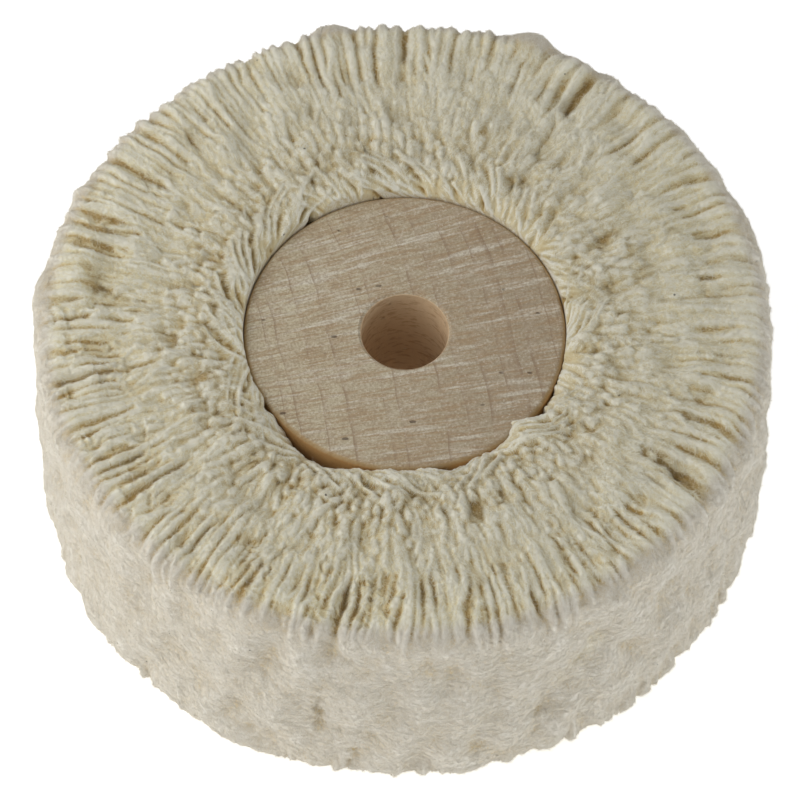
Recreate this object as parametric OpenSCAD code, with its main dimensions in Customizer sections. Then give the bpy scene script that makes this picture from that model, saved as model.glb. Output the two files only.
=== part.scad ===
// Tufted polishing wheel. A turned wooden hub carries three rows of cotton yarn tufts in blind
// radial holes. Each tuft is folded in half and pinned at the bottom of its hole by a wire
// staple, and all the yarn is trimmed to one rounded drum.
// +Z is the spin axis. The origin is on the bore's axis, half way through the hub.

/* [Yarn drum] */
// Outside diameter of the trimmed yarn
wheel_d = 100; // [92:1:110]
// Width of the trimmed yarn, along the spin axis
yarn_w = 40; // [38:0.5:44]
// Radius of the trimmed corner where the faces meet the rim
rim_round = 3.5; // [2:0.5:6]
// Radius of the yarn's arch over the edge of the hub
arch_round = 6; // [5:0.5:7]

/* [Hub] */
// Diameter of the hub
hub_d = 44; // [42:1:48]
// Thickness of the hub between its two faces
hub_w = 34; // [33:0.5:36]
// Diameter of the through bore
bore_d = 12; // [8:0.5:14]
// Radius on the outer edge of each face
hub_edge = 0.8; // [0.4:0.1:1.2]
// Chamfer at each mouth of the bore
bore_chamfer = 0.4; // [0.2:0.1:0.8]

/* [Tufts] */
// Number of tufts round one row
tufts_per_row = 16; // [12:1:16]
// Distance between the rows, along the spin axis
row_pitch = 10.5; // [9.5:0.5:11]
// Diameter of the hole that holds one tuft
hole_d = 5; // [4:0.2:5.2]
// Depth of the hole below the hub's rim
hole_depth = 7; // [6:0.5:7.5]
// Radial gap between the hub's rim and the fanned-out yarn
fan_gap = 0.6; // [0.3:0.1:1.5]
// Gap left between neighbouring tufts
tuft_gap = 0.16; // [0.1:0.02:0.3]

/* [Staples] */
// Diameter of the staple wire
wire_d = 0.8; // [0.6:0.1:1]
// Width of a staple between the centres of its legs
staple_w = 3; // [2.4:0.2:3.4]
// Height of the staple's crown above the bottom of the hole
crown_rise = 1.6; // [1.2:0.1:2.5]
// Length of leg driven into the wood
leg_bite = 3.6; // [2:0.2:4]

/* [Hidden] */
$fn = 96;
ROWS = ["front", "middle", "back"];
wheel_r = wheel_d / 2;
hub_r = hub_d / 2;
bore_r = bore_d / 2;
fan_r = hub_r + fan_gap;              // where the tuft starts to fan out
hole_floor_r = hub_r - hole_depth;    // distance of the hole's floor from the axis
crown_r = hole_floor_r + crown_rise;  // distance of the staple's crown from the axis
leg_r = hole_floor_r - leg_bite;      // distance of the staple's leg ends from the axis
tuft_angle = 360 / tufts_per_row;
row_boundary = row_pitch / 2;         // where the rows part at the hub
rim_boundary = yarn_w / 6;            // where the rows part at the rim
slip = 0.02;                          // clearance that keeps pressed pieces from overlapping
overshoot = 1;                        // how far cutting shapes run past what they cut

function two_digits(n) = n < 10 ? str("0", n) : str(n);
function tuft_name(row, i) = str(ROWS[row], "_row_tuft_", two_digits(i + 1));
function staples_name(row) = str(ROWS[row], "_row_staples");
function row_z(row) = (1 - row) * row_pitch;
// The middle row sits half a step round, so its tufts fill the gaps between the others
function tuft_turn(row, i) = (i + (row == 1 ? 0.5 : 0)) * tuft_angle;

// Turns its children from the X axis to where one tuft stands
module at_tuft(row, i) {
    rotate([0, 0, tuft_turn(row, i)]) translate([0, 0, row_z(row)]) children();
}

// Round bar along the X axis, between two distances from the wheel's axis
module radial_bar(r, from, to) {
    translate([from, 0, 0]) rotate([0, 90, 0]) cylinder(r = r, h = to - from);
}

// Square-shouldered staple of round wire. Its crown lies along the spin axis
module staple(r) {
    translate([crown_r, 0, -staple_w / 2]) cylinder(r = r, h = staple_w);
    for (side = [-1, 1]) translate([0, 0, side * staple_w / 2]) {
        translate([crown_r, 0, 0]) sphere(r = r);
        radial_bar(r, leg_r, crown_r);
    }
}

module hub_blank() {
    rotate_extrude() difference() {
        union() {
            translate([0, -hub_w / 2 + hub_edge]) square([hub_r, hub_w - 2 * hub_edge]);
            translate([0, -hub_w / 2]) square([hub_r - hub_edge, hub_w]);
            for (side = [-1, 1])
                translate([hub_r - hub_edge, side * (hub_w / 2 - hub_edge)]) circle(hub_edge);
        }
        translate([0, -hub_w / 2 - overshoot]) square([bore_r, hub_w + 2 * overshoot]);
        for (side = [-1, 1]) polygon([
            [0, side * (hub_w / 2 + overshoot)],
            [bore_r + bore_chamfer + overshoot, side * (hub_w / 2 + overshoot)],
            [bore_r, side * (hub_w / 2 - bore_chamfer)],
            [0, side * (hub_w / 2 - bore_chamfer)]
        ]);
    }
}

module hub() {
    color("tan") difference() {
        hub_blank();
        for (row = [0 : 2]) for (i = [0 : tufts_per_row - 1]) at_tuft(row, i) {
            radial_bar(hole_d / 2, hole_floor_r, hub_r + overshoot);
            for (side = [-1, 1]) translate([0, 0, side * staple_w / 2])
                radial_bar(wire_d / 2 + slip, leg_r - slip, hole_floor_r + overshoot);
        }
    }
}

// Section of the whole yarn drum outside the hub, in the plane through the axis
module drum_section() {
    corner_z = yarn_w / 2 - rim_round;
    arch_z = yarn_w / 2 - arch_round;
    translate([fan_r, -arch_z]) square([wheel_r - fan_r, 2 * arch_z]);
    translate([fan_r + arch_round, -yarn_w / 2])
        square([wheel_r - rim_round - fan_r - arch_round, yarn_w]);
    translate([wheel_r - rim_round - overshoot, -corner_z])
        square([rim_round + overshoot, 2 * corner_z]);
    for (side = [-1, 1]) {
        translate([fan_r + arch_round, side * arch_z]) circle(arch_round);
        translate([wheel_r - rim_round, side * corner_z]) circle(rim_round);
    }
}

// Band that one row takes up in the drum's section. It widens from the hub to the rim
module row_band(row) {
    half_gap = tuft_gap / 2;
    side = row == 0 ? 1 : -1;
    if (row == 1) polygon([
        [fan_r, -row_boundary + half_gap],
        [wheel_r + overshoot, -rim_boundary + half_gap],
        [wheel_r + overshoot, rim_boundary - half_gap],
        [fan_r, row_boundary - half_gap]
    ]);
    else polygon([
        [fan_r, side * (row_boundary + half_gap)],
        [wheel_r + overshoot, side * (rim_boundary + half_gap)],
        [wheel_r + overshoot, side * yarn_w],
        [fan_r, side * yarn_w]
    ]);
}

// Fanned-out yarn of one tuft, centred on the X axis
module fan(row) {
    gap_angle = tuft_gap / fan_r * 180 / PI;
    rotate([0, 0, (gap_angle - tuft_angle) / 2])
        rotate_extrude(angle = tuft_angle - gap_angle) intersection() {
            drum_section();
            row_band(row);
        }
}

module tuft(row, i) {
    color("cornsilk") difference() {
        union() {
            rotate([0, 0, tuft_turn(row, i)]) fan(row);
            at_tuft(row, i) radial_bar(hole_d / 2 - slip, hole_floor_r + slip, fan_r + overshoot);
        }
        at_tuft(row, i) staple(wire_d / 2 + slip);
    }
}

module staples(row) {
    color("lightgray") for (i = [0 : tufts_per_row - 1]) at_tuft(row, i) staple(wire_d / 2);
}

hub();
for (row = [0 : 2]) for (i = [0 : tufts_per_row - 1])
    tuft(row, i);
for (row = [0 : 2])
    staples(row);
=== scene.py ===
import math

import bpy
import numpy as np
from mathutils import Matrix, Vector


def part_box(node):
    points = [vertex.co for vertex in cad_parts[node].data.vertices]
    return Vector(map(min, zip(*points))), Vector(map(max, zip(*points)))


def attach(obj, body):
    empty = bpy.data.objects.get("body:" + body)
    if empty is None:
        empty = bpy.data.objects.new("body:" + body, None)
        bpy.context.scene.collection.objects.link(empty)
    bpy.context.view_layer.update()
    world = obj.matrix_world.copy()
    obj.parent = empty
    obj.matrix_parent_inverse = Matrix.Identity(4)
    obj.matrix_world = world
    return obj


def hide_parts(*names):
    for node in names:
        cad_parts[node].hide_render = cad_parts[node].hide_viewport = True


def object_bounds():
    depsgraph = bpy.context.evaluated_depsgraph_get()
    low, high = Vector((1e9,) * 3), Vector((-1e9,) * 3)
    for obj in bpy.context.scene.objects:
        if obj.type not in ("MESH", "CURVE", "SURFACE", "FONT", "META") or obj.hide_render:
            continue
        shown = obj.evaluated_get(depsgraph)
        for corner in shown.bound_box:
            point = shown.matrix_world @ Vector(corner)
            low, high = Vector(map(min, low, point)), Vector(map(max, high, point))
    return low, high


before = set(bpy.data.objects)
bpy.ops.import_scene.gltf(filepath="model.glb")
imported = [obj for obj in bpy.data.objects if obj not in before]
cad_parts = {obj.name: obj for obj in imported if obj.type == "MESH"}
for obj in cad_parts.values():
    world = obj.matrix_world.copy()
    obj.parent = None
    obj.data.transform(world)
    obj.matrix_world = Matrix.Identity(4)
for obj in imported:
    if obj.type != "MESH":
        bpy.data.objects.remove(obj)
cad_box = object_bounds()

# Lengths in this script are in millimetres until a mesh is made. MM turns them into metres.
MM = 0.001
ROWS = ("front", "middle", "back")
TUFTS = sum(1 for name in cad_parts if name.startswith("front_row_tuft"))
TUFT_ANGLE = 2 * math.pi / TUFTS
HUB_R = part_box("hub")[1].x / MM
HUB_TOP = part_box("hub")[1].z / MM
DRUM_R = cad_box[1].x / MM
DRUM_TOP = cad_box[1].z / MM
FAN_GAP = 0.6                # between the hub's rim and where the yarn starts to fan out
FAN_R = HUB_R + FAN_GAP
ARCH = 6.0                   # radius of the yarn's arch over the hub's edge
CORNER = 3.5                 # radius of the trimmed corner at the rim
ROW_Z = (10.5, 0.0, -10.5)   # height of each row's holes
HUB_SPLIT = 5.25             # where the rows part at the hub
RIM_SPLIT = DRUM_TOP / 3     # where the rows part at the rim
HOLE_DEPTH = 7.0
HOLE_FLOOR = HUB_R - HOLE_DEPTH
HUB_CLEARANCE = 0.08         # least gap between the yarn and the hub's rim
SEED = 41


# ---------------------------------------------------------------- camera, floor and light

def make_camera(elevation, distance, lens, aim):
    """A long lens above the near side of the wheel, aimed a little beside its centre."""
    camera = bpy.data.objects.new("camera", bpy.data.cameras.new("camera"))
    bpy.context.collection.objects.link(camera)
    e = math.radians(elevation)
    back = Vector((0, -math.cos(e), math.sin(e)))
    right = Vector((1, 0, 0))
    up = back.cross(right)
    camera.location = (back * distance + right * aim[0] + up * aim[1]) * MM
    camera.rotation_mode = "QUATERNION"
    camera.rotation_quaternion = (-back).to_track_quat("-Z", "Y")
    camera.data.lens = lens
    camera.data.sensor_width = 36
    camera.data.clip_start, camera.data.clip_end = 0.05, 20
    bpy.context.scene.camera = camera


def make_floor(height):
    mesh = bpy.data.meshes.new("floor")
    half = 6.0
    corners = [(-half, -half, 0), (half, -half, 0), (half, half, 0), (-half, half, 0)]
    mesh.from_pydata(corners, [], [(0, 1, 2, 3)])
    floor = bpy.data.objects.new("floor", mesh)
    floor.location.z = height
    bpy.context.collection.objects.link(floor)
    material = bpy.data.materials.new("floor")
    material.use_nodes = True
    shader = material.node_tree.nodes["Principled BSDF"]
    shader.inputs["Base Color"].default_value = (0.93, 0.93, 0.93, 1)
    shader.inputs["Roughness"].default_value = 0.9
    shader.inputs["Emission Color"].default_value = (1, 1, 1, 1)
    shader.inputs["Emission Strength"].default_value = 0.6
    mesh.materials.append(material)


def area_light(name, place, size, power, colour=(1, 1, 1)):
    """A square soft light at a place given in metres, aimed at the wheel."""
    light = bpy.data.lights.new(name, "AREA")
    light.size, light.energy, light.color = size, power, colour
    lamp = bpy.data.objects.new(name, light)
    lamp.location = place
    lamp.rotation_mode = "QUATERNION"
    lamp.rotation_quaternion = Vector(place).to_track_quat("Z", "Y")
    bpy.context.collection.objects.link(lamp)


def make_light():
    world = bpy.data.worlds.new("studio")
    world.use_nodes = True
    world.node_tree.nodes["Background"].inputs["Color"].default_value = (1.0, 1.0, 1.0, 1)
    world.node_tree.nodes["Background"].inputs["Strength"].default_value = 0.375
    bpy.context.scene.world = world
    area_light("key", (-0.30, -0.06, 0.26), 0.4, 0.93)
    area_light("fill", (0.9, -0.20, 0.0), 0.6, 4.2, (0.88, 0.94, 1.0))
    bpy.context.scene.view_settings.view_transform = "Standard"


# ---------------------------------------------------------------- node helpers

class Nodes:
    """Short calls that add nodes to one material and wire them up."""

    def __init__(self, name):
        self.material = bpy.data.materials.new(name)
        self.material.use_nodes = True
        self.tree = self.material.node_tree
        self.shader = self.tree.nodes["Principled BSDF"]

    def add(self, kind, inputs=None, **settings):
        node = self.tree.nodes.new(kind)
        for key, value in settings.items():
            setattr(node, key, value)
        for key, value in (inputs or {}).items():
            if isinstance(value, bpy.types.NodeSocket):
                self.tree.links.new(value, node.inputs[key])
            else:
                node.inputs[key].default_value = value
        return node

    def math(self, operation, a, b=0.0, clamp=False):
        return self.add("ShaderNodeMath", {0: a, 1: b}, operation=operation, use_clamp=clamp).outputs[0]

    def ramp(self, value, low, high, to_low=0.0, to_high=1.0):
        """value from low..high to to_low..to_high, smoothly and without passing them."""
        node = self.add("ShaderNodeMapRange", {"Value": value}, interpolation_type="SMOOTHSTEP")
        for key, number in (("From Min", low), ("From Max", high), ("To Min", to_low), ("To Max", to_high)):
            node.inputs[key].default_value = number
        return node.outputs["Result"]

    def mix(self, factor, a, b, blend="MIX"):
        node = self.add("ShaderNodeMix", {"Factor": factor}, data_type="RGBA", blend_type=blend)
        colour_a = [s for s in node.inputs if s.name == "A" and s.type == "RGBA"][0]
        colour_b = [s for s in node.inputs if s.name == "B" and s.type == "RGBA"][0]
        for socket, value in ((colour_a, a), (colour_b, b)):
            if isinstance(value, bpy.types.NodeSocket):
                self.tree.links.new(value, socket)
            else:
                socket.default_value = (*value, 1)
        return [s for s in node.outputs if s.type == "RGBA"][0]

    def noise(self, vector, scale, detail=3.0, roughness=0.55, distortion=0.0):
        inputs = {"Vector": vector, "Scale": scale, "Detail": detail,
                  "Roughness": roughness, "Distortion": distortion}
        return self.add("ShaderNodeTexNoise", inputs).outputs["Fac"]

    def stretch(self, vector, scale, rotation=(0, 0, 0)):
        inputs = {"Vector": vector, "Scale": scale, "Rotation": rotation}
        return self.add("ShaderNodeMapping", inputs).outputs["Vector"]

    def radius(self, place):
        """Distance from the wheel's axis."""
        flat = self.add("ShaderNodeVectorMath", {0: place, 1: (1.0, 1.0, 0.0)}, operation="MULTIPLY")
        length = self.add("ShaderNodeVectorMath", {0: flat.outputs[0]}, operation="LENGTH")
        return length.outputs["Value"]

    def bump(self, height, distance, strength=1.0, normal=None):
        inputs = {"Height": height, "Distance": distance, "Strength": strength}
        if normal is not None:
            inputs["Normal"] = normal
        return self.add("ShaderNodeBump", inputs).outputs["Normal"]

    def finish(self, colour, roughness, normal):
        for key, value in (("Base Color", colour), ("Roughness", roughness), ("Normal", normal)):
            self.tree.links.new(value, self.shader.inputs[key])
        return self.material


def yarn_material():
    """Unbleached cotton.

    The attribute tone is 1 on open fibre and 0 deep in a gap, and its low, ochre end is painted shade. The
    attribute fibre is a place on a strand, squeezed along it, so that noise on it runs in streaks along the
    strand.
    """
    n = Nodes("cotton_yarn")
    place = n.add("ShaderNodeTexCoord").outputs["Object"]
    tone = n.add("ShaderNodeAttribute", attribute_name="tone").outputs["Fac"]
    fibre = n.add("ShaderNodeAttribute", attribute_name="fibre").outputs["Vector"]
    radius = n.radius(place)
    tall = n.stretch(place, (1.0, 1.0, 0.5))
    streak = n.noise(fibre, 3.4, 2.0, 0.6)
    hair = n.noise(fibre, 8.0, 2.0, 0.6, 0.5)
    woolly = n.noise(tall, 1500.0, 4.0, 0.7, 0.6)
    fine = n.noise(tall, 4200.0, 3.0, 0.7, 1.2)
    blotch = n.noise(tall, 300.0, 3.0, 0.6)
    patch = n.noise(place, 38.0, 2.0, 0.5)
    felted = n.ramp(radius, 0.0472, 0.0492)

    # Tone, varied by streaks along the strands, fine wool and soft blotches.
    open_tone = n.math("ADD", tone, n.ramp(streak, 0.3, 0.7, -0.17, 0.17))
    open_tone = n.math("ADD", open_tone, n.ramp(hair, 0.3, 0.7, -0.14, 0.14))
    open_tone = n.math("ADD", open_tone, n.ramp(fine, 0.3, 0.7, -0.12, 0.12))
    open_tone = n.math("ADD", open_tone, n.ramp(blotch, 0.3, 0.7, -0.10, 0.08))

    # Painted shade: ochre in the gaps, pale cotton over them, and nearly white on the brushed ends.
    deep = n.mix(n.ramp(open_tone, 0.0, 0.45), (0.42, 0.28, 0.10), (0.62, 0.48, 0.24))
    pale = n.mix(n.ramp(patch, 0.35, 0.65), (0.78, 0.705, 0.465), (0.78, 0.715, 0.51))
    inner = n.ramp(radius, 0.027, 0.043, 0.75, 0.0)
    pale = n.mix(inner, pale, (0.69, 0.60, 0.38))
    pale = n.mix(felted, pale, (0.68, 0.62, 0.505))
    white = n.mix(felted, (0.88, 0.85, 0.72), (0.76, 0.72, 0.63))
    pale = n.mix(n.ramp(open_tone, 0.92, 1.30, 0.0, 1.0), pale, white)
    colour = n.mix(n.ramp(open_tone, 0.20, 0.92), deep, pale)

    # Seed specks, and one larger speck of dirt on the front face.
    specks = n.add("ShaderNodeTexVoronoi", {"Vector": place, "Scale": 150.0}).outputs["Distance"]
    colour = n.mix(n.ramp(specks, 0.018, 0.030, 0.9, 0.0), colour, (0.06, 0.045, 0.03))
    speck = n.add("ShaderNodeVectorMath", {0: place, 1: (0.0273, 0.0368, 0.0196)}, operation="DISTANCE")
    colour = n.mix(n.ramp(speck.outputs["Value"], 0.0004, 0.0007, 0.95, 0.0), colour, (0.05, 0.04, 0.03))

    # The twist of the strands fades out where they melt into the felt.
    on_face = n.ramp(radius, 0.0425, 0.0460, 1.0, 0.06)
    normal = n.bump(streak, 0.00010, on_face)
    normal = n.bump(hair, 0.00004, on_face, normal)
    normal = n.bump(woolly, 0.00007, 0.8, normal)
    normal = n.bump(fine, 0.00006, 1.0, normal)
    for socket, value in (("Specular IOR Level", 0.05), ("Sheen Weight", 0.55), ("Sheen Roughness", 0.45),
                          ("Sheen Tint", (1.0, 0.96, 0.88, 1.0))):
        n.shader.inputs[socket].default_value = value
    return n.finish(colour, n.ramp(woolly, 0.2, 0.8, 0.84, 0.96), normal)


def wood_material():
    """End grain: rings about a far-off pith, and fine rays square to them."""
    n = Nodes("hub_wood")
    place = n.add("ShaderNodeTexCoord").outputs["Object"]
    parts = n.add("ShaderNodeSeparateXYZ", {0: place})
    pith = n.add("ShaderNodeVectorMath", {0: place, 1: (0.215, 0.052, 0.0)}, operation="ADD").outputs[0]
    from_pith = n.add("ShaderNodeSeparateXYZ", {0: pith})
    x, y = from_pith.outputs["X"], from_pith.outputs["Y"]
    ring_r = n.math("SQRT", n.math("ADD", n.math("MULTIPLY", x, x), n.math("MULTIPLY", y, y)))
    ring_angle = n.math("ARCTAN2", y, x)

    # Growth rings: season runs from 0 to 1 across each ring, which starts with a dark line.
    wander = n.noise(place, 60.0, 3.0)
    ring_place = n.math("ADD", ring_r, n.math("MULTIPLY", wander, 0.0022))
    uneven = n.add("ShaderNodeTexNoise", {"W": ring_place, "Scale": 140.0, "Detail": 1.0},
                   noise_dimensions="1D").outputs["Fac"]
    season = n.math("FRACT", n.math("ADD", n.math("MULTIPLY", ring_place, 270.0),
                                    n.math("MULTIPLY", uneven, 3.0)))
    broken = n.noise(place, 190.0, 3.0, 0.6)
    late = n.ramp(season, 0.0, 0.15, 1.0, 0.0)
    ring = n.math("MULTIPLY", late, n.ramp(broken, 0.38, 0.62))

    # Rays run out from the pith, much longer than they are wide.
    across = n.math("MULTIPLY", ring_angle, 0.22)
    ray_place = n.add("ShaderNodeCombineXYZ", {0: n.math("MULTIPLY", ring_r, 0.085), 1: across,
                                               2: n.math("MULTIPLY", parts.outputs["Z"], 0.25)}).outputs[0]
    ray = n.noise(ray_place, 3400.0, 3.0, 0.65)
    broad_ray = n.noise(ray_place, 1300.0, 2.0, 0.5)
    grain = n.noise(place, 3200.0, 3.0, 0.7)
    cloud = n.noise(place, 80.0, 3.0, 0.6)

    # The plain wood, paler on one side, then the marks on it.
    colour = n.mix(n.ramp(parts.outputs["X"], -0.022, 0.02), (0.66, 0.59, 0.42), (0.48, 0.40, 0.285))
    colour = n.mix(n.ramp(cloud, 0.35, 0.75, 0.0, 0.55), colour, (0.49, 0.39, 0.255))
    colour = n.mix(n.ramp(season, 0.0, 0.6, 0.42, 0.0), colour, (0.50, 0.40, 0.29))
    colour = n.mix(n.ramp(broad_ray, 0.50, 0.70, 0.0, 0.75), colour, (0.77, 0.72, 0.60))
    colour = n.mix(n.ramp(ray, 0.44, 0.62, 0.0, 0.68), colour, (0.43, 0.29, 0.16))
    colour = n.mix(n.math("MULTIPLY", ring, 0.55), colour, (0.27, 0.17, 0.10))
    colour = n.mix(n.ramp(grain, 0.36, 0.56, 0.52, 0.0), colour, (0.32, 0.23, 0.15))
    colour = n.mix(n.ramp(grain, 0.56, 0.72, 0.0, 0.45), colour, (0.86, 0.82, 0.74))
    pit_place = n.stretch(place, (0.6, 1.5, 1.0), (0, 0, 0.2))
    pits = n.add("ShaderNodeTexVoronoi", {"Vector": pit_place, "Scale": 420.0}).outputs["Distance"]
    pit = n.math("MULTIPLY", n.ramp(pits, 0.09, 0.15, 1.0, 0.0), n.ramp(broken, 0.50, 0.58))
    colour = n.mix(n.math("MULTIPLY", pit, 0.75), colour, (0.11, 0.07, 0.045))

    # The bore, the outer edge and the side are warmer than the face; the side's orange brown is painted
    # shade, warmed as by light off the yarn.
    radius = n.radius(place)
    in_bore = n.ramp(radius, 0.0060, 0.00615, 1.0, 0.0)
    dash = n.noise(n.stretch(place, (500.0, 500.0, 1500.0)), 1.0, 2.0, 0.6)
    drilled = n.mix(n.ramp(dash, 0.50, 0.66, 0.0, 0.6), (0.68, 0.50, 0.31), (0.42, 0.25, 0.13))
    colour = n.mix(n.math("MULTIPLY", in_bore, 0.92), colour, drilled)
    deep_side = n.ramp(n.math("ABSOLUTE", parts.outputs["Z"]), 0.0162, 0.0168, 1.0, 0.0)
    edge = n.math("MULTIPLY", n.ramp(radius, 0.0214, 0.0218), n.ramp(broken, 0.3, 0.6, 0.45, 1.0))
    colour = n.mix(n.math("MULTIPLY", edge, 0.75), colour, (0.46, 0.30, 0.13))
    # The side of the hub under the yarn: painted shade, a warm orange brown.
    shaded_side = n.math("MULTIPLY", n.ramp(radius, 0.02175, 0.022), deep_side)
    colour = n.mix(n.math("MULTIPLY", shaded_side, 0.85), colour, (0.60, 0.35, 0.14))
    height = n.math("ADD", n.math("MULTIPLY", ray, 0.5), n.math("MULTIPLY", grain, 0.5))
    normal = n.bump(height, 0.00018, 0.7)
    normal = n.bump(n.math("MULTIPLY", pit, -1.0), 0.0003, 0.8, normal)
    n.shader.inputs["Specular IOR Level"].default_value = 0.25
    return n.finish(colour, n.ramp(grain, 0.3, 0.7, 0.72, 0.9), normal)


def staple_material():
    """Drawn steel wire, with faint lines and a little tarnish."""
    n = Nodes("staple_wire")
    place = n.add("ShaderNodeTexCoord").outputs["Object"]
    lines = n.noise(place, 4000.0, 2.0)
    tarnish = n.noise(place, 500.0, 3.0)
    colour = n.mix(n.ramp(tarnish, 0.4, 0.7), (0.56, 0.55, 0.52), (0.36, 0.32, 0.26))
    n.shader.inputs["Metallic"].default_value = 1.0
    return n.finish(colour, n.ramp(lines, 0.3, 0.7, 0.28, 0.45), n.bump(lines, 0.00002, 0.3))


# ---------------------------------------------------------------- shape helpers

def unit(vectors):
    return vectors / np.linalg.norm(vectors, axis=-1, keepdims=True)


def wavy(seed, wavelength, waves=24):
    """A smooth random field of about unit size, as a function of places in millimetres."""
    draw = np.random.default_rng(SEED * 1000 + seed)
    direction = unit(draw.normal(size=(waves, 3)))
    turns = direction * (2 * np.pi / wavelength) * draw.uniform(0.7, 1.4, (waves, 1))
    phase = draw.uniform(0, 2 * np.pi, waves)
    return lambda p: np.sin(p @ turns.T + phase).sum(-1) * math.sqrt(2 / waves)


def smooth(low, high, value):
    t = np.clip((value - low) / (high - low), 0, 1)
    return t * t * (3 - 2 * t)


def polar(r, angle, z):
    return np.stack([r * np.cos(angle), r * np.sin(angle), z + 0 * angle], -1)


FACE_START = ARCH * math.pi / 2
FACE_END = FACE_START + (DRUM_R - CORNER) - (FAN_R + ARCH)
CORNER_END = FACE_END + CORNER * math.pi / 2


def section(s):
    """Radius, height and outward direction of the drum's section, a distance s along it from the hub."""
    turn = np.clip(s / ARCH, 0, math.pi / 2)
    bend = np.clip((s - FACE_END) / CORNER, 0, math.pi / 2)
    along = np.clip(s - FACE_START, 0, FACE_END - FACE_START)
    down = np.clip(s - CORNER_END, 0, None)
    r = FAN_R + ARCH * (1 - np.cos(turn)) + along + CORNER * np.sin(bend)
    z = DRUM_TOP - ARCH + ARCH * np.sin(turn) - CORNER * (1 - np.cos(bend)) - down
    lean = np.where(s < FACE_START, turn - math.pi / 2, bend)
    return r, z, np.sin(lean), np.cos(lean)


ROOF = ((1.0, -0.25), (0.0, 0.45), (-1.0, -0.25))   # section of a loose fibre that lies on the yarn


def carried_sides(tangent):
    """A direction square to each ring's tangent, carried along every tube without twisting."""
    side = np.cross(tangent[:, 0], np.array([0.31, 0.22, 0.93]))
    sides = np.empty_like(tangent)
    for k in range(tangent.shape[1]):
        side = unit(side - tangent[:, k] * (side * tangent[:, k]).sum(1, keepdims=True))
        sides[:, k] = side
    return sides


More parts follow.
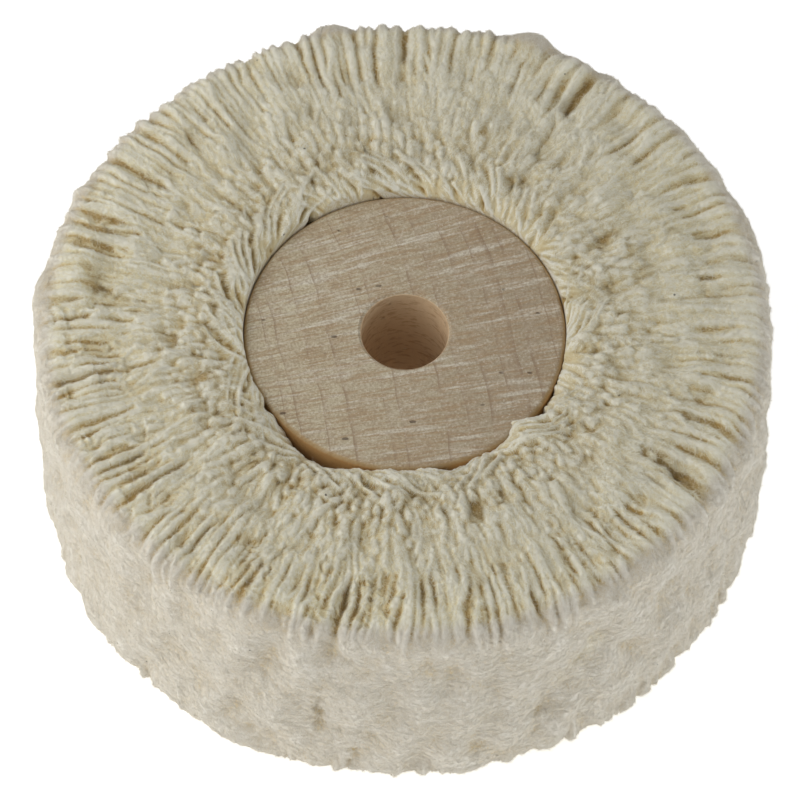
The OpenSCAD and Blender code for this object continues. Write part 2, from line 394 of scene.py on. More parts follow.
class Pile:
    """Collects the tubes and skins of one piece, then makes one mesh of them."""

    def __init__(self):
        self.points, self.tones, self.fibres = [], [], []
        self.quads, self.quad_uv, self.tris, self.tri_uv = [], [], [], []
        self.flat_quads, self.flat_tris = [], []
        self.count = 0

    def add(self, points, tones, fibres, quads, quad_uv, tris, tri_uv, flat_quads=False, flat_tris=False):
        self.points.append(points)
        self.tones.append(tones)
        self.fibres.append(fibres)
        self.quads.append(quads + self.count)
        self.quad_uv.append(quad_uv)
        self.flat_quads.append(np.broadcast_to(flat_quads, len(quads)))
        self.tris.append(tris + self.count)
        self.tri_uv.append(tri_uv)
        self.flat_tris.append(np.broadcast_to(flat_tris, len(tris)))
        self.count += len(points)

    def tubes(self, paths, radii, tones, sides, cells, ups=None):
        """Closed tubes along paths (tube, ring, xyz). cells is the box of the UV map that they share.

        With ups, which way is up at each ring, they are low roofs of three sides.
        """
        n, rings = radii.shape
        tangent = unit(np.gradient(paths, axis=1))
        if ups is None:
            sides_u = carried_sides(tangent)
            turn = np.arange(sides) * 2 * np.pi / sides
            section_u, section_v = np.cos(turn), np.sin(turn)
        else:
            sides_u = unit(np.cross(ups, tangent))
            section_u, section_v = np.array(ROOF).T
        sides_v = np.cross(tangent, sides_u)
        step = np.linalg.norm(np.diff(paths, axis=1), axis=2)
        length = np.concatenate([np.zeros((n, 1)), np.cumsum(step, axis=1)], axis=1)
        reach = radii[..., None]
        ring = (paths[:, :, None] + sides_u[:, :, None] * (reach * section_u)[..., None]
                + sides_v[:, :, None] * (reach * section_v)[..., None])
        tip = paths[:, -1] + tangent[:, -1] * radii[:, -1:] * 0.45
        root = paths[:, 0] - tangent[:, 0] * radii[:, :1] * 0.3
        points = np.concatenate([ring.reshape(n, -1, 3), tip[:, None], root[:, None]], 1)
        along = length[..., None] + 0 * section_u
        number = np.arange(n)[:, None, None]
        fibre = np.stack(np.broadcast_arrays(along, number * 1.9, number * 2.3), -1)
        fibre = np.concatenate([fibre.reshape(n, -1, 3), fibre[:, -1, :1], fibre[:, 0, :1]], 1)
        tone = np.repeat(tones, sides, axis=1)
        tone = np.concatenate([tone, tones[:, -1:], tones[:, :1]], 1)

        j, k = np.meshgrid(np.arange(sides), np.arange(rings - 1))
        j, k = j.ravel(), k.ravel()
        nxt = (j + 1) % sides
        quad = np.stack([k * sides + j, k * sides + nxt, (k + 1) * sides + nxt, (k + 1) * sides + j], 1)
        quad_u = np.stack([j, j + 1, j + 1, j], 1) / sides
        quad_v = np.stack([k + 1, k + 1, k + 2, k + 2], 1) / (rings + 1)
        j = np.arange(sides)
        nxt = (j + 1) % sides
        last = (rings - 1) * sides
        tri = np.concatenate([np.stack([last + j, last + nxt, 0 * j + rings * sides], 1),
                              np.stack([nxt, j, 0 * j + rings * sides + 1], 1)])
        tri_u = np.concatenate([np.stack([j, j + 1, j + 0.5], 1), np.stack([j + 1, j, j + 0.5], 1)]) / sides
        full = np.ones(sides)
        tri_v = np.concatenate([np.stack([full * rings, full * rings, full * (rings + 1)], 1),
                                np.stack([full, full, 0 * full], 1)]) / (rings + 1)

        x0, y0, wide, high = cells
        columns = max(1, int(math.ceil(math.sqrt(n * wide / high))))
        cell_w, cell_h = wide / columns, high / math.ceil(n / columns)
        cell_x = x0 + (np.arange(n) % columns) * cell_w
        cell_y = y0 + (np.arange(n) // columns) * cell_h

        def placed(u, v):
            return np.stack([cell_x[:, None, None] + u[None] * cell_w * 0.9,
                             cell_y[:, None, None] + v[None] * cell_h * 0.94], -1).reshape(-1, u.shape[1], 2)

        per = points.shape[1]
        shift = (np.arange(n) * per)[:, None, None]
        self.add(points.reshape(-1, 3), tone.ravel(), fibre.reshape(-1, 3),
                 (quad[None] + shift).reshape(-1, 4), placed(quad_u, quad_v),
                 (tri[None] + shift).reshape(-1, 3), placed(tri_u, tri_v), ups is not None, ups is not None)

    def spikes(self, roots, directions, ups, length, radius, tones, cells):
        """Short closed needles, each a low roof that runs to a point: the ends of single fibres."""
        n = len(roots)
        u = unit(np.cross(ups, directions))
        v = np.cross(directions, u)
        across, up = np.array(ROOF).T
        ring = roots[:, None] + radius[:, None, None] * (u[:, None] * across[None, :, None]
                                                         + v[:, None] * up[None, :, None])
        tips = roots + directions * length[:, None]
        points = np.concatenate([ring, tips[:, None]], 1).reshape(-1, 3)
        one = np.array([(0, 1, 3), (1, 2, 3), (2, 0, 3), (2, 1, 0)])
        tris = one[None] + (np.arange(n) * 4)[:, None, None]
        x0, y0, wide, high = cells
        columns = int(math.ceil(math.sqrt(4 * n * wide / high)))
        cell = wide / columns
        number = np.arange(4 * n)
        corner = np.stack([x0 + (number % columns) * cell, y0 + (number // columns) * cell], -1)
        uv = corner[:, None] + np.array([(0, 0), (0.85, 0), (0.4, 0.85)])[None] * cell
        self.add(points, np.repeat(tones, 4), points, np.zeros((0, 4), int), np.zeros((0, 4, 2)),
                 tris.reshape(-1, 3), uv, flat_tris=True)

    def mesh(self, name):
        points = np.concatenate(self.points) * MM
        quads, tris = np.concatenate(self.quads), np.concatenate(self.tris)
        flat = np.concatenate(self.flat_quads + self.flat_tris)
        uv = np.concatenate([part.reshape(-1, 2) for part in self.quad_uv + self.tri_uv])
        loops = np.concatenate([quads.ravel(), tris.ravel()])
        starts = np.concatenate([np.arange(len(quads)) * 4, len(quads) * 4 + np.arange(len(tris)) * 3])
        mesh = bpy.data.meshes.new(name)
        mesh.vertices.add(len(points))
        mesh.vertices.foreach_set("co", points.astype(np.float32).ravel())
        mesh.loops.add(len(loops))
        mesh.loops.foreach_set("vertex_index", loops.astype(np.int32))
        mesh.polygons.add(len(starts))
        mesh.polygons.foreach_set("loop_start", starts.astype(np.int32))
        mesh.update(calc_edges=True)
        mesh.polygons.foreach_set("use_smooth", ~flat)
        layer = mesh.uv_layers.new(name="OFBake")
        layer.data.foreach_set("uv", uv.astype(np.float32).ravel())
        tone = mesh.attributes.new("tone", "FLOAT", "POINT")
        tone.data.foreach_set("value", np.concatenate(self.tones).astype(np.float32))
        fibre = mesh.attributes.new("fibre", "FLOAT_VECTOR", "POINT")
        fibre.data.foreach_set("vector", np.concatenate(self.fibres).astype(np.float32).ravel())
        mesh.validate()
        return mesh


# ---------------------------------------------------------------- felt at the rim

big_swell = wavy(1, 17.0)
lump = wavy(2, 6.0)
nub = wavy(3, 2.4)
grit = wavy(4, 0.95, 32)
pit_field = wavy(6, 4.2)
stray = wavy(7, 3.6)
knot = wavy(9, 0.7, 32)
parting = wavy(10, 1.6)

# Creases in the matted rim: direction in degrees, height, half length, depth
CREASES = ((256.5, -3, 6.5, 1.25), (262, -14, 4, 0.7), (291, -6.8, 1.5, 0.6), (318, 3, 5, 0.6),
           (222, 5, 4, 0.5), (20, -5, 6, 0.8), (75, 4, 7, 0.9), (140, -8, 5, 0.7), (183, 2, 6, 0.8))

# Places where the yarn stands proud of the rim: direction in degrees, height, half width, rise
BULGES = ((69, 15, 2.4, 1.2), (55, 15, 1.8, 1.0), (154, 15, 2.2, 0.9), (161, 14, 2.0, 0.7),
          (100, 15, 2.5, 0.5), (128, 14, 2.5, 0.6), (181, 12, 2.5, 0.5), (212, -8, 3.0, 0.6),
          (238, -12, 3.0, 0.6), (15, 12, 3.0, 0.5))


def beside(points, direction):
    """Distance round the rim from a direction given in degrees."""
    turned = np.arctan2(points[..., 1], points[..., 0]) - math.radians(direction)
    return np.abs((turned + math.pi) % (2 * math.pi) - math.pi) * DRUM_R


def felt_height(points, edge, swell):
    """How far the matted yarn stands out of the trimmed drum, and its tone.

    edge is the distance to the tuft's edge, and swell how far its middle stands out.
    """
    inside = smooth(0, 3.5, edge)
    tall = points * np.array([1, 1, 0.5])
    pit = smooth(1.3, 2.6, pit_field(points))
    crease, bulge = 0, 0
    for direction, level, half, depth in CREASES:
        aside = np.abs(beside(points, direction) + 0.3 * nub(points))
        above = np.abs(points[..., 2] - level)
        crease = crease + depth * (1 - smooth(0, 1.1, aside)) * (1 - smooth(0.5 * half, half, above))
    for direction, level, half, rise in BULGES:
        away = (beside(points, direction) / half) ** 2 + ((points[..., 2] - level) / 5) ** 2
        bulge = bulge + rise * np.exp(-away)
    height = (0.34 * big_swell(points) + 0.31 * lump(tall) + 0.05 * nub(tall) + 0.012 * grit(tall)
              + swell * inside + bulge - 0.6 * crease - 0.15 * pit)
    # The tone is darker in the creases and pits: painted shade.
    tone = 0.96 + 0.06 * lump(tall) + 0.06 * nub(tall) + 0.03 * grit(tall) - 0.15 * pit - 0.30 * crease
    return height, tone


# ---------------------------------------------------------------- strands on the face

def tuft_centre(row, index):
    return (index + (0.5 if row == 1 else 0.0)) * TUFT_ANGLE


def spread(draw, count, jitter):
    """Evenly spaced, jittered directions across one tuft, measured from its middle."""
    places = (np.arange(count) + draw.uniform(0, 1) + draw.normal(0, jitter, count)) / count % 1
    return (places - 0.5) * TUFT_ANGLE


def gathered(draw, turned, tip, share, pull):
    """Moves strand ends part of the way to shared points, so that they gather into locks."""
    place = np.stack([turned * DRUM_R * 0.85, tip], 1)
    centres = place[draw.permutation(len(place))[:max(1, int(len(place) / share))]]
    gap = np.abs(place[:, None] - centres[None]) @ np.array([1.0, 0.35])
    place = place + (centres[gap.argmin(1)] - place) * pull
    return place[:, 0] / (DRUM_R * 0.85), place[:, 1]


def strand_table(start, tip, turned_start, turned_tip, sway, radius, sink, crest, taper, tone):
    """Strands on the drum's surface, one to a line.

    start and tip are distances along the section, and turned_start and turned_tip the directions
    there. sway bends a strand sideways, crest is how high its ridge stands, sink is how much lower
    it starts, and taper is the length in which its tip runs out.
    """
    columns = (start, tip, turned_start, turned_tip, sway, radius, sink, crest, taper, tone)
    return np.stack(np.broadcast_arrays(*columns), 1).astype(float)


def arched_strands(draw):
    """Strands that come up beside the hub, all leaning one way, in three layers."""
    lean = draw.choice([-1, 1]) * draw.uniform(0.04, 0.24)
    tables = []
    for layer in range(3):
        count = 9
        turned = spread(draw, count, 0.25)
        tip = draw.uniform((5.5, 4.0, 8.0)[layer], (8.5, 6.0, 11.0)[layer], count)
        bend = lean + draw.normal(0, 0.02, count)
        # The lowest layer's tone is darker: painted shade.
        tables.append(strand_table(-1.0, tip, turned - bend * 0.7, turned + bend * 0.9, -bend * 0.6,
                                   draw.uniform(0.42, 0.58, count), 0.0,
                                   (0.1, 0.3, -0.45)[layer] + draw.normal(0, 0.15, count), 0.5,
                                   (1.0, 1.0, 0.7)[layer] + draw.normal(0, 0.04, count)))
    return tables


def upright_strands(draw):
    """Short strands whose blunt ends stand up in the middle of the face, in line after line."""
    tables = []
    for tip_line in np.arange(5.5, FACE_START + 11.0, 1.35):
        count = int(round((FAN_R + tip_line - 2.5) * TUFT_ANGLE / 1.2))
        turned = spread(draw, count, 0.4)
        tip = tip_line + draw.normal(0, 0.6, count)
        turned_tip, tip = gathered(draw, turned, tip, 2.5, 0.2)
        length = draw.uniform(1.8, 3.6, count) * np.interp(tip_line, [6, 12, 20], [0.9, 0.9, 1.3])
        crest = draw.normal(-0.1, 0.28, count)
        # A strand's tone rises with its crest, so lower strands are darker: painted shade.
        tables.append(strand_table(tip - length, tip, turned + draw.normal(0, 0.012, count), turned_tip, 0.0,
                                   draw.uniform(0.44, 0.62, count), draw.uniform(0.6, 1.2, count), crest,
                                   draw.uniform(0.35, 0.6, count), 0.96 + 0.25 * crest))
    return tables


def lying_strands(draw, drift):
    """Longer strands that lie along the face and stop short of the rim, in two layers."""
    tables = []
    for low, count, pull in ((0.0, 30, 0.3), (0.5, 30, 0.1)):
        turned = spread(draw, count, 0.4)
        tip = draw.uniform(FACE_START + 6.0, FACE_END - 4.0, count)
        turned_tip, tip = gathered(draw, turned, tip, 3.0, pull)
        # The lower layer's tone is darker: painted shade.
        tables.append(strand_table(tip - draw.uniform(4, 9, count), tip,
                                   turned + draw.normal(0, 0.01, count), turned_tip + drift * 0.3,
                                   drift * 0.5 + draw.normal(0, 0.012, count),
                                   draw.uniform(0.36, 0.50, count), draw.uniform(0.5, 1.1, count),
                                   draw.normal(-0.05, 0.2, count) - low, draw.uniform(0.5, 1.0, count),
                                   draw.uniform(0.9, 1.06, count) - 0.45 * low))
    return tables


def rim_strands(draw, drift):
    """Strands that reach the rim, gather into pointed locks and sink into the felt, in two layers."""
    tables = []
    for low, count, pull in ((0.0, 26, 0.25), (0.6, 28, 0.1)):
        turned = spread(draw, count, 0.55)
        ebb = 2.0 * np.sin(turned * draw.uniform(20, 45) + draw.uniform(0, 6))
        tip = FACE_END + draw.normal(2.0 + low, 2.3, count) + ebb
        turned_tip, tip = gathered(draw, turned, tip, 2.5, pull)
        # The lower layer's tone is darker: painted shade.
        tables.append(strand_table(FACE_END - draw.uniform(8, 14, count), tip, turned,
                                   turned_tip + drift * 0.4, drift * 0.6 + draw.normal(0, 0.011, count),
                                   draw.uniform(0.28, 0.46, count), 0.5,
                                   draw.normal(0.18, 0.16, count) - low, draw.uniform(2.2, 4.5, count),
                                   draw.uniform(0.94, 1.06, count) - 0.45 * low))
    return tables


def face_strands(row, index):
    """The strands that show on one outer tuft, one to a line: see strand_table."""
    draw = np.random.default_rng(SEED + 100 * row + index)
    tables = arched_strands(draw) + upright_strands(draw)
    drift = draw.normal(0, 0.022)
    tables += lying_strands(draw, drift) + rim_strands(draw, drift)
    table = np.concatenate(tables)
    table[:, 2:4] += tuft_centre(row, index)
    return table


def strand_relief(table, s, angle, r, floor, felt_place):
    """Soft union of strands on a grid (angle, s): height, tone, and place on the nearest strand.

    floor is the height and tone of what shows between them.
    """
    hardness = 8.0
    weight = np.exp(hardness * floor[0])
    tones = weight * floor[1]
    place = weight[..., None] * felt_place
    for start, tip, angle0, angle1, sway, radius, sink, crest, taper, tone in table:
        k0, k1 = np.searchsorted(s, (start - 0.8, tip + 2.2 * taper))
        if k1 - k0 < 2:
            continue
        t = np.clip((s[k0:k1] - start) / (tip - start), 0, 1)
        path = angle0 + (angle1 - angle0) * t + sway * t * (1 - t) * 4
        reach = 2.1 * radius / r[k0:k1].min()
        i0, i1 = np.searchsorted(angle, (path.min() - reach, path.max() + reach))
        if i1 - i0 < 1:
            continue
        aside = (angle[i0:i1, None] - path[None]) * r[None, k0:k1] / radius
        past = np.clip(s[k0:k1] - tip, 0, None) / taper + np.clip(start - s[k0:k1], 0, None)
        ridge = crest - sink * (1 - t) ** 1.3 - 0.9 * radius * past ** 2
        lift = np.exp(hardness * (ridge[None] - 0.80 * radius * aside ** 2))
        along = (s[k0:k1] - start)[None]
        weight[i0:i1, k0:k1] += lift
        tones[i0:i1, k0:k1] += lift * tone
        for axis, value in enumerate((aside * radius + 0.4 * along, 0.22 * along, 7 * angle0)):
            place[i0:i1, k0:k1, axis] += lift * value
    return np.log(weight) / hardness, tones / weight, place / weight[..., None]


def about(angle, direction, half_width):
    """1 in a direction and 0 well to either side of it. Both measures are in degrees."""
    turned = (np.degrees(angle) - direction + 180) % 360 - 180
    return np.exp(-(turned / half_width) ** 2)


def hub_gap(angle):
    """1 where the yarn stands clear of the hub's edge, on the near left, and 0 elsewhere."""
    return about(angle, 233, 16)


def hub_lock(angle):
    """1 where a lock of loose yarn leans over the hub's edge, on the near right, and 0 elsewhere."""
    return about(angle, -46, 5)


def lean_on_hub(row, angle, s):
    """How far the yarn leans in over the hub's edge, on the grid (angle, s)."""
    on_front = 1 if row == 0 else 0
    away = hub_gap(angle)[:, None] * on_front
    over_hub = hub_lock(angle)[:, None] * on_front
    lean = 1.1 + 0.4 * np.sin(angle)[:, None]
    lean = (lean - 1.4 * away + 1.6 * over_hub) * (1 - smooth(2.5, 8.0, s))[None, :]
    return lean - 0.5 * away * (1 - smooth(7, 12, s))[None, :]


def notch_strength(row, angle):
    """How open each notch between two tufts is at the hub's edge: the same from both sides."""
    nearest = np.round(angle / TUFT_ANGLE - 0.5).astype(int) % TUFTS
    return np.random.default_rng(SEED + row).uniform(-0.3, 1.0, TUFTS).clip(0, 1)[nearest]


def blurred(values, wide, high):
    """Running mean over a grid, that many steps to each side."""
    for axis, reach in ((0, wide), (1, high)):
        padded = np.concatenate([np.repeat(values.take([0], axis), reach + 1, axis), values,
                                 np.repeat(values.take([-1], axis), reach, axis)], axis)
        total = np.cumsum(padded, axis=axis)
        length = values.shape[axis]
        values = (total.take(range(2 * reach + 1, 2 * reach + 1 + length), axis)
                  - total.take(range(length), axis)) / (2 * reach + 1)
    return values


FACE_TABLES = {}


def tables_near(row, index):
    """Strands of a tuft and of its neighbours, so that the surface runs on from tuft to tuft."""
    tables = []
    for step in (-1, 0, 1):
        key = (row, (index + step) % TUFTS)
        if key not in FACE_TABLES:
            FACE_TABLES[key] = face_strands(*key)
        table = FACE_TABLES[key].copy()
        table[:, 2:4] += (index + step - key[1]) * TUFT_ANGLE
        tables.append(table)
    return np.concatenate(tables)


MEET_S = CORNER_END + DRUM_TOP - CORNER - RIM_SPLIT   # where the outer rows meet the middle one
TUCK = 0.3                                            # how far a row's edge runs on under the next
TUCK_DEPTH = 0.09                                     # how far under the next tuft an edge dips
PAD = 8                                               # columns worked out beyond a tuft's edges


def grid_lines(row):
    """Distances along the section, and columns across a tuft as fractions of it, with the pad."""
    if row == 1:
        s = np.linspace(MEET_S, MEET_S + 2 * RIM_SPLIT, 56)
        s, columns = np.concatenate([[s[0] - TUCK], s, [s[-1] + TUCK]]), 70
    else:
        face = np.arange(0, CORNER_END + 1.5, 0.17)
        s = np.concatenate([face, np.linspace(face[-1], MEET_S, 34)[1:], [MEET_S + TUCK]])
        columns = 116
    return s, np.arange(-PAD, columns + 1 + PAD) / columns - 0.5


def fluff(flat, angle):
    """0 where the strands lie apart, towards 1 where they are brushed up into soft wool."""
    facing = 0.5 + 0.5 * np.cos(angle - math.radians(25))
    return np.clip(0.06 + 0.65 * facing[:, None] + 0.12 * big_swell(flat), 0, 0.85)


def faced(row, index, s, angle, flat, felt, side_edge):
    """Height, tone and fibre place on an outer tuft: strands over the face, felt on the rim."""
    height, tone = felt
    felted = smooth(FACE_END - 2.0, CORNER_END + 1.0, s)[None, :]
    # Between the strands on the face the floor's tone is 0.15: painted shade in the gaps.
    floor = (height - 1.7 * (1 - felted), tone * felted + 0.15 * (1 - felted))
    r = section(s)[0]
    relief, relief_tone, place = strand_relief(tables_near(row, index), s, angle, r, floor, flat * 0.4)
    soft = fluff(flat, angle) * (1 - felted) * (0.35 + 0.65 * smooth(4, 9, s)[None, :])

    # Tone: painted shade, darker in creases, hollows and deep places, most of all on the near left, where
    # the strands lie apart, and a little lighter where the relief stands above its surroundings.
    around = blurred(relief, 6, 6)
    gappy = 0.5 + 0.5 * np.cos(angle - math.radians(240))[:, None]
    crease = np.clip(blurred(relief, 3, 3) - relief, -0.15, 0.3) * (1 - 0.8 * felted)
    hollow = np.clip(around - relief, -0.3, 0.8) * (1 - 0.6 * felted)
    depth = np.clip(-0.3 - relief, 0, 2) * (1 - felted)
    strength = (0.95 + 0.75 * gappy) * (1 - 0.35 * soft)
    tone = blurred(relief_tone - strength * hollow - 0.3 * depth, 1, 1) - 1.0 * (1 - 0.5 * soft) * crease

    # Furrows between the locks near the rim, in lanes that run outwards, sunk and darkened with painted
    # shade.
    lane = np.stack([(angle * DRUM_R / 1.7)[:, None] + 0.5 * nub(flat), s[None, :] / 8 + 0 * flat[..., 0],
                     0 * flat[..., 0]], -1)
    zone = smooth(FACE_END - 11, FACE_END - 5, s) * (1 - smooth(FACE_END + 1, FACE_END + 4, s))
    furrow = smooth(0.25, 1.4, parting(lane)) * zone[None, :] * (0.25 + 0.75 * gappy)
    brushed = np.exp(-((s - FACE_END - 1.5) / 3.0) ** 2)[None, :]
    tone = np.clip(tone - 0.58 * furrow + 0.10 * brushed + 0.04, 0, 1.3)
    relief = blurred(relief, 1, 1) - 0.40 * furrow
    relief = relief + (blurred(relief, 4, 4) - relief) * (0.08 + 0.65 * soft) * (1 - felted)
    relief = relief + (0.05 * nub(flat) + 0.025 * knot(flat)) * (1 - 0.6 * felted)

    # Notches between the tufts at the hub, darkened with painted shade, and the broad shape of the face,
    # whose low parts get painted shade too.
    notch = np.exp(-(side_edge / 0.6) ** 2) * notch_strength(row, angle)[:, None]
    notch = notch * (1 - smooth(3.5, 8.0, s))[None]
    broad = (0.25 * big_swell(flat) + 0.24 * lump(flat)) * (1 - felted)
    height = relief - 0.25 * notch + lean_on_hub(row, angle, s) + broad
    tone = tone - 0.6 * notch + 0.06 * lump(flat) * (1 - felted)
    return height, np.clip(tone, 0, 1.3), place


def yarn_surface(row, index, swell):
    """Grid of points over the outside of one tuft, with its tones and the two coordinates of the grid."""
    flip = -1 if row == 2 else 1
    s, u = grid_lines(row)
    angle = tuft_centre(row, index) + u * TUFT_ANGLE
    r, z, out_r, out_z = section(s)
    grid_angle, grid_r = np.meshgrid(angle, r, indexing="ij")
    grid_z = np.broadcast_to(z, grid_r.shape)
    flat = polar(grid_r, grid_angle, grid_z * flip)
    side_edge = (0.5 - np.abs(u))[:, None] * TUFT_ANGLE * grid_r
    row_edge = MEET_S - s if row != 1 else np.minimum(s - MEET_S, MEET_S + 2 * RIM_SPLIT - s)
    inside = np.clip(np.minimum(side_edge, row_edge[None, :]), 0, None)
    height, tone = felt_height(flat, inside, swell)
    place = flat * 0.4
    if row == 1:
        height = height + 0.02 * nub(flat) + 0.01 * knot(flat)
    else:
        height, tone, place = faced(row, index, s, angle, flat, (height, tone), np.abs(side_edge))
    tucked = (side_edge < -1e-6) | (row_edge[None, :] < -1e-6)
    height = height - TUCK_DEPTH * tucked
    points_r = grid_r + height * out_r
    points_z = grid_z + height * out_z
    leaning = 2.5 * hub_lock(angle)[:, None] * (points_z > HUB_TOP + 0.3) * (row == 0)
    points_r = np.maximum(points_r, HUB_R + HUB_CLEARANCE - leaning)
    turned = 0.06 * stray(flat) * smooth(0, 1.0, side_edge) / grid_r
    top = polar(points_r, grid_angle + turned, points_z * flip)
    kept = slice(PAD - 1, 1 - PAD)
    return top[kept], tone[kept], place[kept], s, angle[kept]


# ---------------------------------------------------------------- one tuft

# The sides that face other tufts lie in the dark between them: their low tone is painted shade.
HIDDEN_TONE = 0.2                    # tone of the sides that face other tufts
LINT_COUNT = (1000, 500, 1000)       # loose fibres that lie on a tuft, by row
FUZZ_COUNT = (10500, 4500, 10500)    # fibre ends that stand off a tuft, by row

# Parts of the UV map outside the body's own: left, bottom, width and height
ROOT_CELLS = (0.01, 0.73, 0.20, 0.24)
LINT_CELLS = (0.22, 0.73, 0.36, 0.24)
FUZZ_CELLS = (0.60, 0.73, 0.38, 0.24)


def tuft_sides(row, index):
    centre = tuft_centre(row, index)
    return centre - TUFT_ANGLE / 2, centre + TUFT_ANGLE / 2


def body(pile, row, index, top, tone, flat, s, angle):
    """The closed body of one tuft, under its outer surface."""
    flip = -1 if row == 2 else 1
    split_z = RIM_SPLIT if row != 1 else -RIM_SPLIT
    hub_z = HUB_SPLIT if row != 1 else -HUB_SPLIT
    back = [(FAN_R + (DRUM_R - FAN_R) * t, hub_z + (split_z - hub_z) * t) for t in (0.85, 0.5, 0.2, 0.0)]
    if row == 1:
        back += [(FAN_R, 0.0)] + [(r, -z) for r, z in reversed(back)]
    back_r, back_z = np.array(back).T
    angle = np.clip(angle, *tuft_sides(row, index))
    shape = (len(angle), len(back))
    inner = polar(np.broadcast_to(back_r, shape), np.broadcast_to(angle[:, None], shape),
                  np.broadcast_to(back_z * flip, shape))
    loop = np.concatenate([top, inner], 1)
    fibres = np.concatenate([flat, inner], 1)
    rings, per = loop.shape[:2]
    tones = np.concatenate([tone, np.full(shape, HIDDEN_TONE)], 1)
    i, k = np.meshgrid(np.arange(rings - 1), np.arange(per), indexing="ij")
    i, k = i.ravel(), k.ravel()
    nxt = (k + 1) % per
    quads = np.stack([i * per + k, i * per + nxt, (i + 1) * per + nxt, (i + 1) * per + k], 1)
    uv = np.stack([np.stack([k, k + 1, k + 1, k], 1) / per * 0.98 + 0.01,
                   np.stack([i, i, i + 1, i + 1], 1) / rings * 0.70 + 0.01], -1)
    flat_faces = k >= len(s) - 1

    # Each end is closed by a fan of triangles about the middle of its loop.
    middles = loop[[0, -1]].mean(1)
    k = np.arange(per)
    nxt = (k + 1) % per
    first = rings * per
    tris = np.concatenate([np.stack([nxt, k, 0 * k + first], 1),
                           np.stack([(rings - 1) * per + k, (rings - 1) * per + nxt, 0 * k + first + 1], 1)])
    if flip < 0:
        quads, uv, tris = quads[:, ::-1], uv[:, ::-1], tris[:, ::-1]
    tri_uv = np.zeros((len(tris), 3, 2)) + np.array([0.995, 0.995])
    tri_uv[:, 1, 0] -= 0.004
    tri_uv[:, 2, 1] -= 0.004
    points = np.concatenate([loop.reshape(-1, 3), middles])
    fibres = np.concatenate([fibres.reshape(-1, 3), middles])
    tones = np.concatenate([tones.ravel(), [HIDDEN_TONE, HIDDEN_TONE]])
    pile.add(points, tones, fibres, quads, uv, tris, tri_uv, flat_faces, True)


def folded_root(pile, row, centre, draw):
    """The part of the tuft in its hole: strands folded in half under the staple."""
    n = 14
    across = draw.uniform(-1.7, 1.7, n)
    along = draw.uniform(-1, 1, n) * np.sqrt(2.1 ** 2 - across ** 2)
    away = draw.choice([-1.0, 1.0], n)

    def at(r, a, b):
        return polar(r + np.zeros(n), centre + a / r, ROW_Z[row] + b)

    paths = np.stack([at(HOLE_FLOOR + 0.65, 0.12 * away, along * 0.45),
                      at(HOLE_FLOOR + 1.3, 0.85 * away, along * 0.45),
                      at(HOLE_FLOOR + 3.4, 0.6 * away + 0.4 * across, along * 0.8),
                      at(HUB_R - 0.5, across, along),
                      at(FAN_R + 1.5, across * 1.1, along * 1.1),
                      at(FAN_R + 4.0, across * 1.3, along * 1.3)], 1)
    radii = draw.uniform(0.3, 0.42, (n, 1)) + np.zeros((n, 6))
    pile.tubes(paths, radii, np.full((n, 6), 0.5), 6, ROOT_CELLS)


def grid_place(grid, i, k):
    """Point on a grid between its corners."""
    i = np.clip(i, 0, grid.shape[0] - 1.001)
    k = np.clip(k, 0, grid.shape[1] - 1.001)
    i0, k0 = i.astype(int), k.astype(int)
    part_i, part_k = (i - i0)[..., None], (k - k0)[..., None]
    near = grid[i0, k0] * (1 - part_i) + grid[i0 + 1, k0] * part_i
    far = grid[i0, k0 + 1] * (1 - part_i) + grid[i0 + 1, k0 + 1] * part_i
    return near * (1 - part_k) + far * part_k


class Cover:
    """The outer surface of a tuft, as somewhere for loose fibres to lie."""

    def __init__(self, row, top, tone, s):
        self.top, self.tone, self.s = top, tone, s
        self.step_i, self.step_k = np.gradient(top, axis=0), np.gradient(top, axis=1)
        normal = np.cross(self.step_i, self.step_k) * (1 if row == 2 else -1)
        self.area = np.linalg.norm(normal, axis=2)
        self.normal = normal / self.area[..., None]
        clear = smooth(3.0, 7.0, s) if row != 1 else 1 + 0 * s
        chance = self.area * clear[None]
        self.chance = (chance / chance.sum()).ravel()

    def choose(self, draw, count):
        """Grid places, and for each a heading from the strands' direction, or any heading on the felt."""
        i, k = np.unravel_index(draw.choice(self.area.size, count, p=self.chance), self.area.shape)
        on_felt = smooth(FACE_END, CORNER_END, self.s[k])
        heading = np.where(draw.uniform(0, 1, count) < on_felt, draw.uniform(0, 2 * np.pi, count),
                           draw.normal(0, 0.8, count))
        return i, k, on_felt, heading


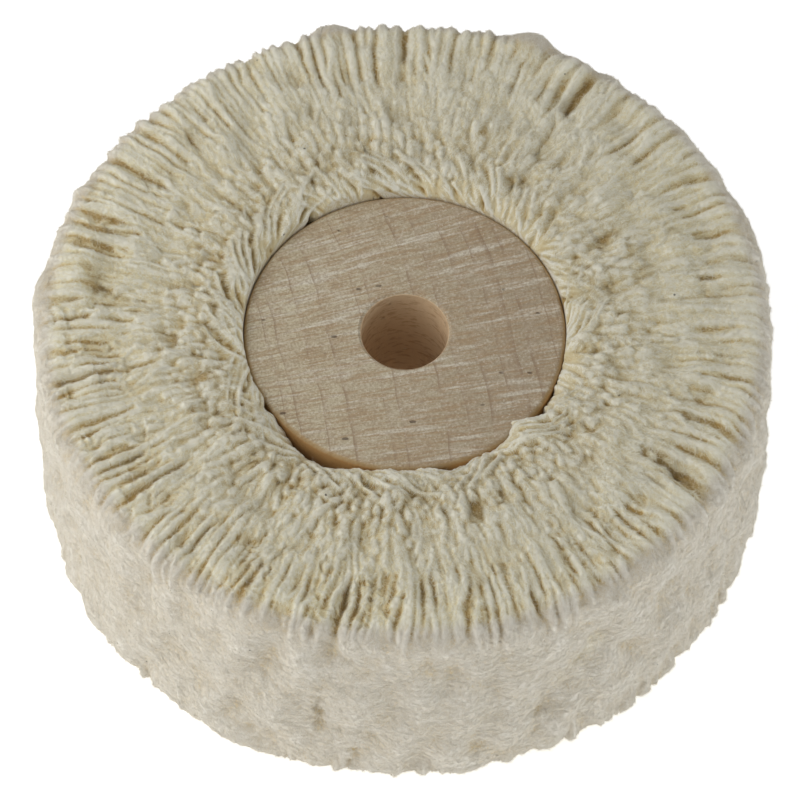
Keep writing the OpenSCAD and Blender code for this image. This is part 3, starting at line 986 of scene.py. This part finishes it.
def lint(pile, draw, cover, count, cells):
    """Loose fibres that lie on the yarn's surface."""
    i, k, on_felt, heading = cover.choose(draw, count)
    length = draw.uniform(0.7, 1.8, count) * (1 + 0.5 * on_felt)
    curl = draw.normal(0, 1.1, count) * (0.4 + 0.8 * on_felt)
    rings = 4
    t = np.linspace(0, 1, rings)
    way = heading[:, None] + curl[:, None] * t[None] * length[:, None] / 1.5
    pace = length[:, None] / (rings - 1)
    walk_k = np.cumsum(np.cos(way) * pace, axis=1) / np.linalg.norm(cover.step_k[i, k], axis=1)[:, None]
    walk_i = np.cumsum(np.sin(way) * pace, axis=1) / np.linalg.norm(cover.step_i[i, k], axis=1)[:, None]
    place_i, place_k = i[:, None] + walk_i, k[:, None] + walk_k
    last_i, last_k = cover.area.shape[0] - 1, cover.area.shape[1] - 1
    keep = (place_i.min(1) > 0) & (place_i.max(1) < last_i)
    keep = keep & (place_k.min(1) > 0) & (place_k.max(1) < last_k)
    place_i, place_k = place_i[keep], place_k[keep]
    n = len(place_i)
    rise = (draw.uniform(0, 1, (n, 1)) ** 6 * 0.4 + 0.01) * t[None] ** 1.5 - 0.008
    ups = grid_place(cover.normal, place_i, place_k)
    paths = grid_place(cover.top, place_i, place_k) + ups * rise[..., None]
    radii = draw.uniform(0.040, 0.065, (n, 1)) * (1 - 0.5 * t)[None]
    under = grid_place(cover.tone[..., None], place_i, place_k)[..., 0]
    pile.tubes(paths, radii, np.clip(under + 0.38, 0, 1.25), 3, cells, ups)


def fuzz(pile, draw, cover, count, cells):
    """Short fibre ends that stand a little way off the yarn."""
    i, k, _, heading = cover.choose(draw, count)
    along, across = unit(cover.step_k[i, k]), unit(cover.step_i[i, k])
    lift = draw.uniform(0.0, 0.35, count)[:, None]
    way = along * np.cos(heading)[:, None] + across * np.sin(heading)[:, None]
    way = unit(way * np.cos(lift) + cover.normal[i, k] * np.sin(lift))
    pile.spikes(cover.top[i, k], way, cover.normal[i, k], draw.uniform(0.4, 1.2, count),
                draw.uniform(0.03, 0.06, count), np.clip(cover.tone[i, k] + 0.32, 0, 1.3), cells)


def tuft(row, index, material):
    """One piece: the detailed tuft that stands for a CAD tuft."""
    name = f"{ROWS[row]}_row_tuft_{index + 1:02d}"
    draw = np.random.default_rng(SEED + 1000 + 100 * row + index)
    pile = Pile()
    top, tone, flat, s, angle = yarn_surface(row, index, draw.normal(0.05, 0.22))
    body(pile, row, index, top, tone, flat, s, angle)
    folded_root(pile, row, tuft_centre(row, index), draw)
    cover = Cover(row, top, tone, s)
    lint(pile, draw, cover, LINT_COUNT[row], LINT_CELLS)
    fuzz(pile, draw, cover, FUZZ_COUNT[row], FUZZ_CELLS)
    mesh = pile.mesh("yarn_" + name)
    mesh.materials.append(material)
    piece = bpy.data.objects.new("yarn_" + name, mesh)
    bpy.context.collection.objects.link(piece)
    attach(piece, "root")
    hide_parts(name)


def set_material(node, material):
    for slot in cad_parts[node].material_slots:
        slot.material = material


make_camera(elevation=58.66, distance=914.7, lens=297.0, aim=(-0.65, -0.61))
make_light()
yarn = yarn_material()
for row_number in range(3):
    for tuft_number in range(TUFTS):
        tuft(row_number, tuft_number, yarn)
set_material("hub", wood_material())
wire = staple_material()
for row_name in ROWS:
    set_material(f"{row_name}_row_staples", wire)

visual_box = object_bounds()
make_floor(visual_box[0].z)
